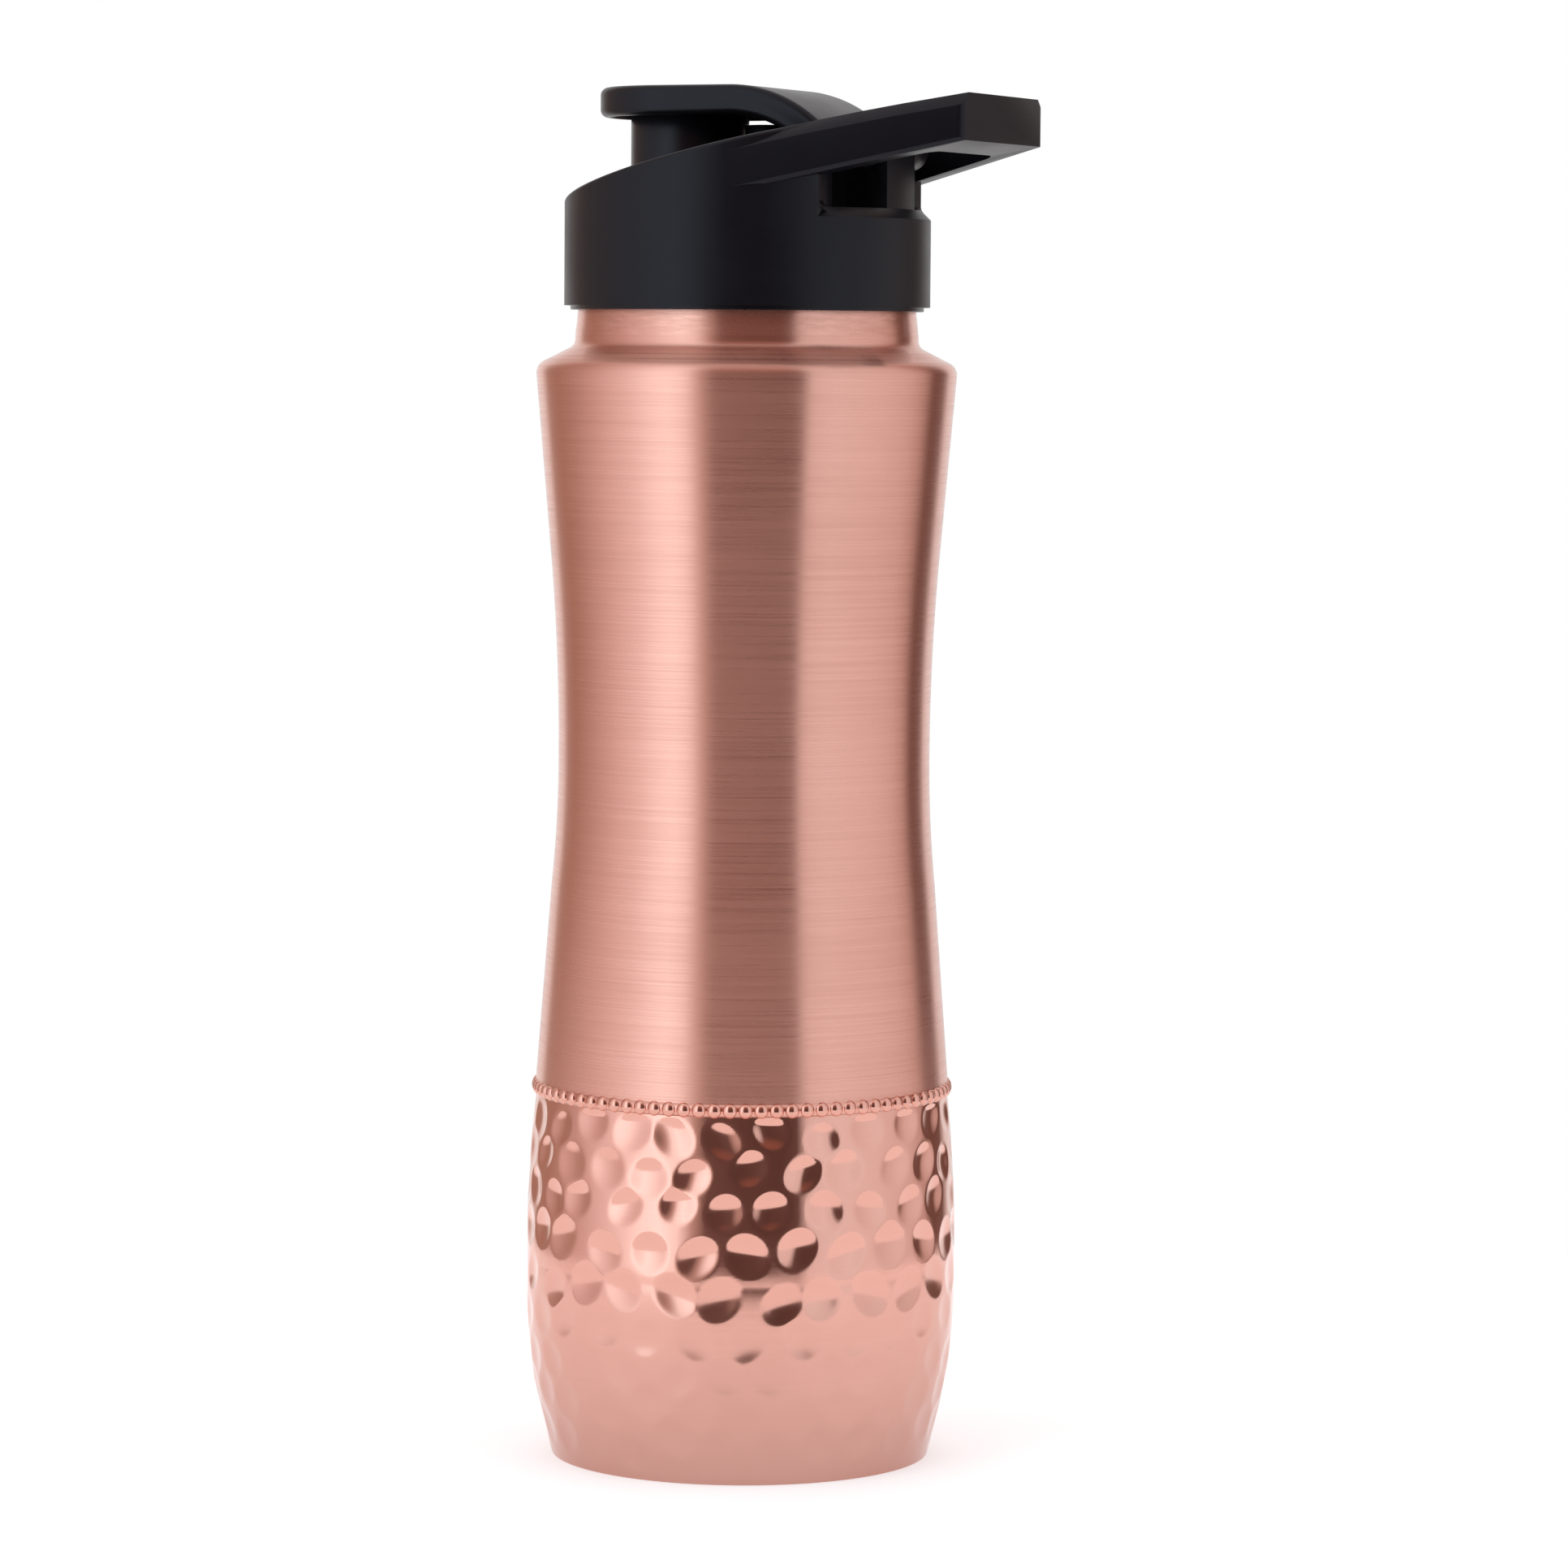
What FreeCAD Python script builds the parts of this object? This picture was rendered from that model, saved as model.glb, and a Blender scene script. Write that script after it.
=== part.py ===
"""Copper water bottle with a hammered cup, a beaded seam and a flip-top carry cap.

Millimetres. +Z is up, the bottle's axis is Z and the base stands on z = 0. The carry
loop points along +X, the drinking spout stands on the -X side, and the lid's hinge
runs along Y. Everything is mirror symmetric about the XZ plane.
"""
import FreeCAD, Part
import math
import os
import re
import Sketcher
from FreeCAD import Placement, Rotation, Vector

doc = FreeCAD.newDocument("copper_bottle")

# ---------------------------------------------------------------- driving dimensions

SIZES = {
    "copper bottle": dict(
        copper_wall=0.8,          # sheet thickness of every copper piece
        foot_radius=35.4,         # outside of the cup where it meets the table
        foot_flare_radius=38.7,   # where the straight foot meets the belly's curve
        foot_flare_height=13.5,
        belly_radius=40.2,        # widest place of the hammered cup
        belly_height=37.0,
        seam_radius=38.6,         # outside of cup and shell where they meet
        seam_height=69.2,
        seam_lap=5.0,             # how far the shell tucks inside the cup
        seam_joggle=3.0,          # height of the step that lets it tuck in
        kink_radius=35.8,         # where the lower flare meets the waist's curve
        kink_height=107.5,
        waist_radius=34.65,
        waist_height=132.0,
        shoulder_radius=39.1,     # widest place, where the shoulder's roll starts
        shoulder_height=202.2,
        shoulder_roll=2.5,        # radius of the shoulder's rolled edge
        shoulder_slope=27.0,      # degrees from level, from the roll in to the neck
        neck_root_radius=31.9,
        neck_root_round=1.8,
        neck_collar=0.8,          # upright edge of the shell that the neck is brazed to
    ),
    "beads": dict(
        band_height=1.6,
        band_thickness=0.3,
        bead_width=2.8,           # a bead seen from the front
        bead_depth=2.0,           # front to back, before its back is cut away
        bead_stand=0.8,           # a bead's crest over the seam
        bead_pitch=2.85,
    ),
    "neck thread": dict(
        thread_radius=30.4,       # outside of the neck under the thread
        thread_depth=0.9,
        thread_width=1.5,         # of a ridge at its root
        thread_crest=0.6,
        thread_lead=4.0,
        thread_turns=1.5,
        thread_bottom=218.2,      # middle of the neck ridge at its lower end
        thread_play=0.25,         # between ridges, and from a crest to the other wall
        mouth_height=227.2,
    ),
    "screw cap": dict(
        cap_radius=34.0,
        cap_rim_height=214.7,
        liner_wall=1.3,
        liner_lip=0.8,            # the liner shows this far below the cap's rim
        gasket_thickness=1.8,
        gasket_width=3.2,
        liner_deck=1.6,
        cap_deck=2.0,             # plastic over the liner's deck
        cap_wall=2.2,
        roof_front_height=233.3,  # roof at the cap's front edge
        roof_slope=0.25,
        roof_bend_place=10.0,     # x where the roof starts to bend down
        roof_edge_round=0.8,
        bay_front=13.0,           # x of the wall behind the spout
        window_front=24.9,        # x where the side windows start
        window_round=1.2,
        bay_half_width=17.0,      # of the bay's front part, round the hinge
        rim_fall=1.8,             # bevel on the cap's rim under the windows
    ),
    "carry loop": dict(
        loop_reach=51.3,          # x of the loop's outer end
        loop_taper=18.8,          # degrees each arm leans towards the middle
        loop_arm=6.2,
        loop_end_bar=7.5,
        loop_end_height=253.0,
        loop_under_height=232.5,  # underside of the arms at the bottle's axis
        loop_under_slope=0.232,
        loop_corner=1.8,          # upright corners of the loop's end
        finger_corner=5.0,
        loop_bevel=2.2,
        loop_under_bevel=0.7,
    ),
    "spout and lid": dict(
        spout_place=-12.0,
        spout_radius=11.0,
        spout_bore=8.0,
        spout_height=251.5,
        spout_play=0.1,           # spout to the hole it passes in the cap's roof
        lid_top_height=255.1,
        lid_depth=5.5,
        lid_end_radius=16.7,
        lid_tail_half_width=15.0,
        lid_wall=1.8,
        lid_bend_place=3.0,       # x where the lid starts to bend down
        lid_bend_radius=27.0,
        lid_bend_sweep=46.0,      # degrees the lid bends through before its lugs
        lid_edge_round=1.4,
        vent_place=4.2,
        vent_radius=4.4,
        vent_bore=1.2,
        vent_drop=1.5,            # top of the vent boss below the lid's flat underside
        plug_flange=9.6,
        plug_play=0.3,            # plug to spout bore at the mouth
        plug_face_gap=0.1,        # flange to the top of the spout
        plug_taper=0.6,
        plug_length=4.0,
    ),
    "hinge": dict(
        pin_place=27.0,
        pin_height=243.6,
        pin_radius=1.5,
        pin_half_length=14.0,
        pin_play=0.06,
        knuckle_radius=4.0,
        knuckle_half_width=6.2,
        knuckle_gap=0.35,
        lug_radius=3.6,
        lug_outer=13.6,
    ),
}

sheet = doc.addObject("Spreadsheet::Sheet", "Sizes")
row = 1
for group, members in SIZES.items():
    sheet.set(f"A{row}", group)
    row += 1
    for alias, number in members.items():
        sheet.set(f"A{row}", alias.replace("_", " "))
        sheet.set(f"B{row}", str(number))
        sheet.setAlias(f"B{row}", alias)
        row += 1
doc.recompute()

ALIASES = {alias for members in SIZES.values() for alias in members}


def bound(text):
    """An expression of the sheet's words, with each word pointed at its cell."""
    return re.sub(r"[a-z_]+", lambda m: "Sizes." + m[0] if m[0] in ALIASES else m[0], str(text))


def value(text):
    """What such an expression comes to now."""
    result = sheet.evalExpression(bound(text))
    return float(getattr(result, "Value", result))


def bind(obj, **expressions):
    """Tie properties of an object to expressions of the sheet's words."""
    for prop, text in expressions.items():
        obj.setExpression(prop.replace("__", "."), bound(text))


# ---------------------------------------------------------------- derived expressions

# The liner, its gasket and the deck above it are stacked on the bottle's mouth.
GASKET_TOP = "(mouth_height + gasket_thickness)"
LINER_TOP = f"({GASKET_TOP} + liner_deck)"
BAY_FLOOR = f"({LINER_TOP} + cap_deck)"
LINER_BORE = "(thread_radius + thread_depth + thread_play)"
LINER_RADIUS = f"({LINER_BORE} + liner_wall)"

# The shoulder's slope runs from the roll to a fillet at the neck. These are the sine,
# cosine and tangent of the slope, and of half the fillet's turn.
SLOPE_SIN = "sin(shoulder_slope * 1 deg)"
SLOPE_COS = "cos(shoulder_slope * 1 deg)"
SLOPE_TAN = "tan(shoulder_slope * 1 deg)"
HALF_TURN = "(45 deg - shoulder_slope * 0.5 deg)"
ROLL_END = (f"(shoulder_radius - shoulder_roll * (1 - {SLOPE_SIN}))",
            f"(shoulder_height + shoulder_roll * {SLOPE_COS})")
NECK_CORNER = f"({ROLL_END[1]} + {SLOPE_TAN} * ({ROLL_END[0]} - neck_root_radius))"
NECK_FOOT = f"({NECK_CORNER} + neck_root_round * tan({HALF_TURN}) + neck_collar)"

# The waist is one arc, the flare above it one straight line that it runs into.
FLARE_BEND = "((shoulder_height - waist_height) * 0.53)"
FLARE_SLOPE = f"((shoulder_radius - waist_radius) / (shoulder_height - waist_height - {FLARE_BEND} / 2))"

# The cap's roof rises straight from its front edge, then bends down to the loop's end.
ROOF_BEND_HEIGHT = "(roof_front_height + roof_slope * (roof_bend_place + cap_radius))"
ROOF_RUN = "(loop_reach - roof_bend_place)"
ROOF_MID_HEIGHT = (f"({ROOF_BEND_HEIGHT} + (loop_end_height - {ROOF_BEND_HEIGHT}) / 2"
                   f" + ({ROOF_BEND_HEIGHT} + roof_slope * {ROOF_RUN} - loop_end_height) / 4)")
COS = "cos(loop_taper * 1 deg)"
SIN = "sin(loop_taper * 1 deg)"


def under_loop(place):
    return f"(loop_under_height + loop_under_slope * ({place}))"


def arm_face(place, inset="0"):
    """Half width of the loop at x, to the outer faces or to a face further in."""
    return f"((cap_radius - ({inset}) - ({place}) * {SIN}) / {COS})"


# ---------------------------------------------------------------- drawing and building

PLANES = {"XY_Plane": Rotation(), "XZ_Plane": Rotation(Vector(1, 0, 0), 90)}


def new_sketch(owner, name, plane):
    """A sketch on one of its own body's origin planes, or free in the document."""
    if owner is doc:
        sketch = doc.addObject("Sketcher::SketchObject", name)
        sketch.Placement = Placement(Vector(), PLANES[plane])
        return sketch
    sketch = owner.newObject("Sketcher::SketchObject", name)
    support = [f for f in owner.Origin.OriginFeatures if f.Role == plane][0]
    sketch.AttachmentSupport = [(support, "")]
    sketch.MapMode = "FlatFace"
    return sketch


def pin_point(sketch, geometry, end, x, y):
    """Fix a sketch point at a place given by two expressions."""
    for axis, text in (("DistanceX", x), ("DistanceY", y)):
        number = value(text)
        index = sketch.addConstraint(Sketcher.Constraint(axis, -1, 1, geometry, end, number))
        sketch.setExpression(f"Constraints[{index}]", bound(text))


def arc_through(start, middle, end):
    """The arc through three points, drawn anticlockwise, and whether start comes first."""
    centre = Part.Circle(start, middle, end).Center
    first, last = (math.atan2(p.y - centre.y, p.x - centre.x) for p in (start, end))
    forwards = (middle - start).cross(end - middle).z > 0
    if not forwards:
        first, last = last, first
    if last < first:
        last += 2 * math.pi
    ring = Part.Circle(centre, Vector(0, 0, 1), centre.distanceToPoint(start))
    return Part.ArcOfCircle(ring, first, last), forwards


def outline(sketch, points):
    """A closed outline. A point is (x, y), or (x, y, "through") where an arc passes it."""
    spots = [Vector(value(p[0]), value(p[1]), 0) for p in points]
    corners = [i for i, p in enumerate(points) if len(p) == 2]
    edges = []
    for here, there in zip(corners, corners[1:] + corners[:1]):
        middle = (here + 1) % len(points)
        if middle == there:
            edge = sketch.addGeometry(Part.LineSegment(spots[here], spots[there]), False)
            edges.append((edge, 1, 2))
            continue
        arc, forwards = arc_through(spots[here], spots[middle], spots[there])
        edge = sketch.addGeometry(arc, False)
        edges.append((edge, 1, 2) if forwards else (edge, 2, 1))
        mark = sketch.addGeometry(Part.Point(spots[middle]), True)
        pin_point(sketch, mark, 1, points[middle][0], points[middle][1])
        sketch.addConstraint(Sketcher.Constraint("PointOnObject", mark, 1, edge))
    for i, (edge, start, end) in enumerate(edges):
        pin_point(sketch, edge, start, points[corners[i]][0], points[corners[i]][1])
        following, next_start, _ = edges[(i + 1) % len(edges)]
        sketch.addConstraint(Sketcher.Constraint("Coincident", edge, end, following, next_start))


def circle(sketch, x, radius):
    """A circle on the sketch's level axis."""
    drawn = Part.Circle(Vector(value(x), 0, 0), Vector(0, 0, 1), value(radius))
    ring = sketch.addGeometry(drawn, False)
    sketch.addConstraint(Sketcher.Constraint("PointOnObject", ring, 3, -1))
    place = sketch.addConstraint(Sketcher.Constraint("DistanceX", -1, 1, ring, 3, value(x)))
    sketch.setExpression(f"Constraints[{place}]", bound(x))
    size = sketch.addConstraint(Sketcher.Constraint("Radius", ring, value(radius)))
    sketch.setExpression(f"Constraints[{size}]", bound(radius))


def new_body(name):
    body = doc.addObject("PartDesign::Body", name)
    body.Label = name
    return body


def turned(name, points):
    """A body turned about the bottle's axis from a half section in the XZ plane."""
    body = new_body(name)
    section = new_sketch(body, name + "_section", "XZ_Plane")
    outline(section, points)
    feature = body.newObject("PartDesign::Revolution", name + "_turning")
    feature.Profile = section
    feature.ReferenceAxis = (section, ["V_Axis"])
    feature.Angle = 360
    doc.recompute()
    return body


def spun(name, points):
    """The same for a bulging section, whose arcs a body's own revolution refuses."""
    section = new_sketch(doc, name + "_section", "XZ_Plane")
    outline(section, points)
    shape = doc.addObject("Part::Revolution", name)
    shape.Source = section
    shape.Axis = Vector(0, 0, 1)
    shape.Angle = 360
    shape.Solid = True
    return shape


def ridge(body, name, root, crest, middle):
    """A helical thread ridge from a root radius to a crest radius, added to a body."""
    profile = new_sketch(body, name + "_profile", "XZ_Plane")
    outline(profile, [
        (root, f"{middle} - thread_width / 2"),
        (crest, f"{middle} - thread_crest / 2"),
        (crest, f"{middle} + thread_crest / 2"),
        (root, f"{middle} + thread_width / 2"),
    ])
    helix = body.newObject("PartDesign::AdditiveHelix", name)
    helix.Profile = profile
    helix.ReferenceAxis = (profile, ["V_Axis"])
    helix.Mode = 1  # pitch and turns
    bind(helix, Pitch="thread_lead", Turns="thread_turns")
    before = body.Shape.Volume
    doc.recompute()
    if body.Shape.Volume <= before:
        raise RuntimeError(f"{name} added nothing to {body.Label}")


def extruded(name, plane, points, **lengths):
    """A prism of an outline: from XY up to LengthFwd, or from XZ both ways along Y."""
    sketch = new_sketch(doc, name + "_outline", plane)
    outline(sketch, points)
    prism = doc.addObject("Part::Extrusion", name)
    prism.Base = sketch
    prism.DirMode = "Normal"
    prism.Solid = True
    prism.Symmetric = plane == "XZ_Plane"
    bind(prism, **lengths)
    return prism


def cylinder(name, radius, bottom, top, x="0"):
    shape = doc.addObject("Part::Cylinder", name)
    bind(shape, Radius=radius, Height=f"{top} - ({bottom})",
         Placement__Base__x=x, Placement__Base__z=bottom)
    return shape


def cross_cylinder(name, radius, half_length, x, z):
    """A cylinder along Y, centred on the XZ plane."""
    shape = doc.addObject("Part::Cylinder", name)
    shape.Placement = Placement(Vector(), Rotation(Vector(1, 0, 0), -90))
    bind(shape, Radius=radius, Height=f"2 * ({half_length})", Placement__Base__x=x,
         Placement__Base__y=f"-({half_length})", Placement__Base__z=z)
    return shape


def joined(kind, name, *shapes):
    result = doc.addObject("Part::" + kind, name)
    if kind.startswith("Multi"):
        result.Shapes = list(shapes)
    else:
        result.Base, result.Tool = shapes
    return result


def eased(kind, name, base, alias, wanted):
    """A Part::Fillet or Part::Chamfer on the edges of base that wanted() picks."""
    doc.recompute()
    size = value(alias)
    numbers = [i for i, edge in enumerate(base.Shape.Edges, 1) if wanted(edge)]
    if not numbers:
        raise RuntimeError(f"{name} found no edges")
    result = doc.addObject("Part::" + kind, name)
    result.Base = base
    result.Edges = [(i, size, size) for i in numbers]
    doc.recompute()
    return result


# ---------------------------------------------------------------- copper pieces

turned("base_disc", [
    ("0", "0"),
    ("foot_radius - copper_wall", "0"),
    ("foot_radius - copper_wall", "copper_wall"),
    ("0", "copper_wall"),
])


def cup_line(inset):
    """The cup's side from foot to seam, on its outside or one sheet further in."""
    low = "foot_flare_radius + 0.6 * (belly_radius - foot_flare_radius)"
    high = "belly_radius - 0.26 * (belly_radius - seam_radius)"
    return [
        (f"foot_flare_radius - {inset}", "foot_flare_height"),
        (f"{low} - {inset}", "foot_flare_height + 0.3 * (belly_height - foot_flare_height)", "through"),
        (f"belly_radius - {inset}", "belly_height"),
        (f"{high} - {inset}", "belly_height + 0.5 * (seam_height - belly_height)", "through"),
        (f"seam_radius - {inset}", "seam_height - bead_width / 2"),
        (f"seam_radius - {inset}", "seam_height"),
    ]


spun("lower_cup", [("foot_radius", "0")] + cup_line("0") + cup_line("copper_wall")[::-1] + [
    ("foot_radius - copper_wall", "copper_wall"),
    ("foot_radius - copper_wall", "0"),
])


def shell_line(inset):
    """The shell's side from kink to neck, on its outside or one sheet further in."""
    roll = f"(shoulder_roll - {inset})"
    centre = "(shoulder_radius - shoulder_roll)"
    half = f"cos({HALF_TURN})", f"sin({HALF_TURN})"
    roll_end = f"({centre} + {roll} * {SLOPE_SIN})", f"(shoulder_height + {roll} * {SLOPE_COS})"
    neck = f"(neck_root_radius - {inset})"
    fillet = f"(neck_root_round + {inset})"
    reach = f"({fillet} * tan({HALF_TURN}))"
    corner = f"({roll_end[1]} + {SLOPE_TAN} * ({roll_end[0]} - {neck}))"
    return [
        (f"kink_radius - {inset}", "kink_height"),
        (f"waist_radius + 0.22 * (kink_radius - waist_radius) - {inset}",
         "(waist_height + kink_height) / 2", "through"),
        (f"waist_radius - {inset}", "waist_height"),
        (f"waist_radius + {FLARE_BEND} * {FLARE_SLOPE} / 8 - {inset}",
         f"waist_height + {FLARE_BEND} / 2", "through"),
        (f"waist_radius + {FLARE_BEND} * {FLARE_SLOPE} / 2 - {inset}", f"waist_height + {FLARE_BEND}"),
        (f"shoulder_radius - {inset}", "shoulder_height"),
        (f"{centre} + {roll} * {half[0]}", f"shoulder_height + {roll} * {half[1]}", "through"),
        roll_end,
        (f"{neck} + {reach} * {SLOPE_COS}", f"{corner} - {reach} * {SLOPE_SIN}"),
        (f"{neck} + {fillet} * (1 - {half[0]})", f"{corner} + {reach} - {fillet} * {half[1]}", "through"),
        (neck, f"{corner} + {reach}"),
        (neck, NECK_FOOT),
    ]


turned("upper_shell", [
    ("seam_radius", "seam_height"),
    ("seam_radius", "seam_height + bead_width / 2"),
] + shell_line("0") + shell_line("copper_wall")[::-1] + [
    ("seam_radius - copper_wall", "seam_height + seam_joggle"),
    ("seam_radius - 2 * copper_wall", "seam_height"),
    ("seam_radius - 2 * copper_wall", "seam_height - seam_lap"),
    ("seam_radius - copper_wall", "seam_height - seam_lap"),
    ("seam_radius - copper_wall", "seam_height"),
])

THREAD_START = "(thread_bottom - 1.5 * thread_width)"
neck_body = turned("threaded_neck", [
    ("neck_root_radius", NECK_FOOT),
    ("thread_radius + thread_depth", "cap_rim_height"),
    ("thread_radius", THREAD_START),
    ("thread_radius", "mouth_height"),
    ("thread_radius - copper_wall", "mouth_height"),
    ("thread_radius - copper_wall", THREAD_START),
    ("thread_radius + thread_depth - copper_wall", "cap_rim_height"),
    ("neck_root_radius - copper_wall", NECK_FOOT),
])
ridge(neck_body, "neck_thread", "thread_radius - copper_wall / 3",
      "thread_radius + thread_depth", "thread_bottom")

bead_body = turned("bead_band", [
    ("seam_radius", "seam_height - band_height / 2"),
    ("seam_radius + band_thickness", "seam_height - band_height / 2"),
    ("seam_radius + band_thickness", "seam_height + band_height / 2"),
    ("seam_radius", "seam_height + band_height / 2"),
])
bead = bead_body.newObject("PartDesign::AdditiveEllipsoid", "bead")
bind(bead, Radius1="bead_depth / 2", Radius2="bead_width / 2", Radius3="bead_width / 2",
     Placement__Base__x="seam_radius + bead_stand - bead_depth / 2",
     Placement__Base__z="seam_height")
bead.Placement.Rotation = Rotation(Vector(0, 1, 0), 90)
doc.recompute()
bead_ring = bead_body.newObject("PartDesign::PolarPattern", "bead_ring")
bead_ring.Originals = [bead]
bead_ring.Axis = ([f for f in bead_body.Origin.OriginFeatures if f.Role == "Z_Axis"][0], [""])
bead_ring.Angle = 360
bind(bead_ring, Occurrences="round(2 * pi * seam_radius / bead_pitch)")
bead_body.Tip = bead_ring
doc.recompute()
bead_backs = new_sketch(bead_body, "bead_backs", "XY_Plane")
circle(bead_backs, "0", "seam_radius")
bead_bore = bead_body.newObject("PartDesign::Pocket", "bead_bore")
bead_bore.Profile = bead_backs
bead_bore.Type = 1  # through all
bead_bore.Midplane = True
before = bead_body.Shape.Volume
doc.recompute()
if bead_body.Shape.Volume >= before:
    raise RuntimeError("the bead band's bore cut nothing")

# ---------------------------------------------------------------- seal and liner

turned("mouth_gasket", [
    ("thread_radius + thread_depth - gasket_width", "mouth_height"),
    ("thread_radius + thread_depth", "mouth_height"),
    ("thread_radius + thread_depth", GASKET_TOP),
    ("thread_radius + thread_depth - gasket_width", GASKET_TOP),
])

liner_blank = turned("liner_blank", [
    (LINER_RADIUS, "cap_rim_height - liner_lip"),
    (LINER_RADIUS, LINER_TOP),
    ("0", LINER_TOP),
    ("0", GASKET_TOP),
    (LINER_BORE, GASKET_TOP),
    (LINER_BORE, "cap_rim_height - liner_lip"),
])
ridge(liner_blank, "liner_thread", f"{LINER_RADIUS} - liner_wall / 2",
      "thread_radius + thread_play", "thread_bottom - thread_width - thread_play")
spout_tube = cylinder("spout_tube", "spout_radius", GASKET_TOP, "spout_height", "spout_place")
VENT_TOP = "(lid_top_height - lid_depth - vent_drop)"
vent_boss = cylinder("vent_boss", "vent_radius", GASKET_TOP, VENT_TOP, "vent_place")
liner_full = joined("MultiFuse", "liner_full", liner_blank, spout_tube, vent_boss)
spout_drill = cylinder("spout_drill", "spout_bore", "mouth_height", "spout_height + 1", "spout_place")
vent_drill = cylinder("vent_drill", "vent_bore", "mouth_height", "spout_height", "vent_place")
joined("Cut", "cap_liner", liner_full, joined("MultiFuse", "liner_drills", spout_drill, vent_drill))

# ---------------------------------------------------------------- cap shell with its carry loop

OUT = "(cap_radius + 1)"


def roof_line(start, drop):
    """Outline points along the roof from x = start to the loop's end, seen from the side."""
    return [
        (start, f"roof_front_height + roof_slope * ({start} + cap_radius) - {drop}"),
        ("roof_bend_place", f"{ROOF_BEND_HEIGHT} - {drop}"),
        (f"roof_bend_place + {ROOF_RUN} / 2", f"{ROOF_MID_HEIGHT} - {drop}", "through"),
        ("loop_reach", f"loop_end_height - {drop}"),
    ]


under_roof = extruded("under_roof", "XZ_Plane", roof_line(f"-{OUT}", "0") + [
    ("loop_reach", "cap_rim_height"),
    (f"-{OUT}", "cap_rim_height"),
], LengthFwd=f"2 * {OUT}")
drum_blank = cylinder("drum_blank", "cap_radius", "cap_rim_height", "loop_end_height")
drum = joined("Common", "drum", under_roof, drum_blank)
drum_eased = eased("Fillet", "drum_eased", drum, "roof_edge_round", lambda e:
                   e.BoundBox.ZMin > value("cap_rim_height") + 0.01 and e.BoundBox.XLength > 1)

loop_side = extruded("loop_side", "XZ_Plane", roof_line("0", "0") + [
    ("loop_reach", under_loop("loop_reach")),
    ("0", under_loop("0")),
], LengthFwd=f"2 * {OUT}")
TANGENT = f"(cap_radius * {SIN})"
loop_plan = extruded("loop_plan", "XY_Plane", [
    (TANGENT, f"-{arm_face(TANGENT)}"),
    ("loop_reach", f"-{arm_face('loop_reach')}"),
    ("loop_reach", arm_face("loop_reach")),
    (TANGENT, arm_face(TANGENT)),
], LengthFwd="loop_end_height + 10")
loop_blank = joined("Common", "loop_blank", loop_side, loop_plan)


def along_arm(height):
    """Picks the outer long edges of the arms that end at a height."""
    def wanted(edge):
        ends = sorted((v.Point for v in edge.Vertexes), key=lambda p: p.x)
        return (len(ends) == 2 and ends[1].x - ends[0].x > value("loop_arm")
                and abs(ends[1].z - value(height)) < 0.01 and abs(ends[1].y - ends[0].y) > 1)
    return wanted


loop_bevelled = eased("Chamfer", "loop_bevelled", loop_blank, "loop_bevel", along_arm("loop_end_height"))
loop_eased = eased("Chamfer", "loop_eased", loop_bevelled, "loop_under_bevel",
                   along_arm(under_loop("loop_reach")))
loop_plan_eased = eased("Fillet", "loop_plan_eased", loop_plan, "loop_corner", lambda e:
                        e.BoundBox.XMin > value("loop_reach") - 0.01 and e.BoundBox.YLength < 0.01)
loop = joined("Common", "loop", loop_eased, loop_plan_eased)
cap_mass = joined("Fuse", "cap_mass", drum_eased, loop)

BAR_INSIDE = "(loop_reach - loop_end_bar)"
bay_blank = extruded("bay_blank", "XY_Plane", [
    ("bay_front", "-bay_half_width"),
    ("window_front", "-bay_half_width"),
    ("window_front", f"-{arm_face('window_front', 'loop_arm')}"),
    (BAR_INSIDE, f"-{arm_face(BAR_INSIDE, 'loop_arm')}"),
    (BAR_INSIDE, arm_face(BAR_INSIDE, "loop_arm")),
    ("window_front", arm_face("window_front", "loop_arm")),
    ("window_front", "bay_half_width"),
    ("bay_front", "bay_half_width"),
], LengthFwd="loop_end_height - cap_rim_height")
bind(bay_blank, Placement__Base__z=BAY_FLOOR)
bay = eased("Fillet", "bay", bay_blank, "finger_corner", lambda e:
            e.BoundBox.XMin > value(BAR_INSIDE) - 0.01 and e.BoundBox.YLength < 0.01)
windows_blank = extruded("windows_blank", "XZ_Plane", [
    ("window_front", BAY_FLOOR),
    (OUT, BAY_FLOOR),
    (OUT, under_loop(OUT)),
    ("window_front", under_loop("window_front")),
], LengthFwd=f"2 * {OUT}")
windows = eased("Fillet", "windows", windows_blank, "window_round", lambda e:
                e.BoundBox.XMax < value("window_front") + 0.01 and e.BoundBox.ZLength < 0.01
                and e.BoundBox.ZMax < value(BAY_FLOOR) + 0.01)
socket = cylinder("socket", LINER_RADIUS, "cap_rim_height - 1", LINER_TOP)
under_roof_space = extruded("under_roof_space", "XZ_Plane", [
    ("-cap_radius", LINER_TOP),
    ("bay_front - cap_wall", LINER_TOP),
    ("bay_front - cap_wall",
     f"{ROOF_BEND_HEIGHT} + roof_slope * (bay_front - roof_bend_place - cap_wall) - cap_wall"),
    ("-cap_radius", "roof_front_height - cap_wall"),
], LengthFwd=f"2 * {OUT}")
space_round = cylinder("space_round", "cap_radius - cap_wall", "cap_rim_height", "loop_end_height")
roof_space = joined("Common", "roof_space", under_roof_space, space_round)
spout_way = cylinder("spout_way", "spout_radius + spout_play", LINER_TOP, "spout_height", "spout_place")
vent_way = cylinder("vent_way", "vent_radius + spout_play", LINER_TOP, "spout_height", "vent_place")
rim_ring = spun("rim_ring", [
    ("cap_radius - rim_fall", BAY_FLOOR),
    ("cap_radius", f"{BAY_FLOOR} - rim_fall"),
    (OUT, f"{BAY_FLOOR} - rim_fall"),
    (OUT, BAY_FLOOR),
])
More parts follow.
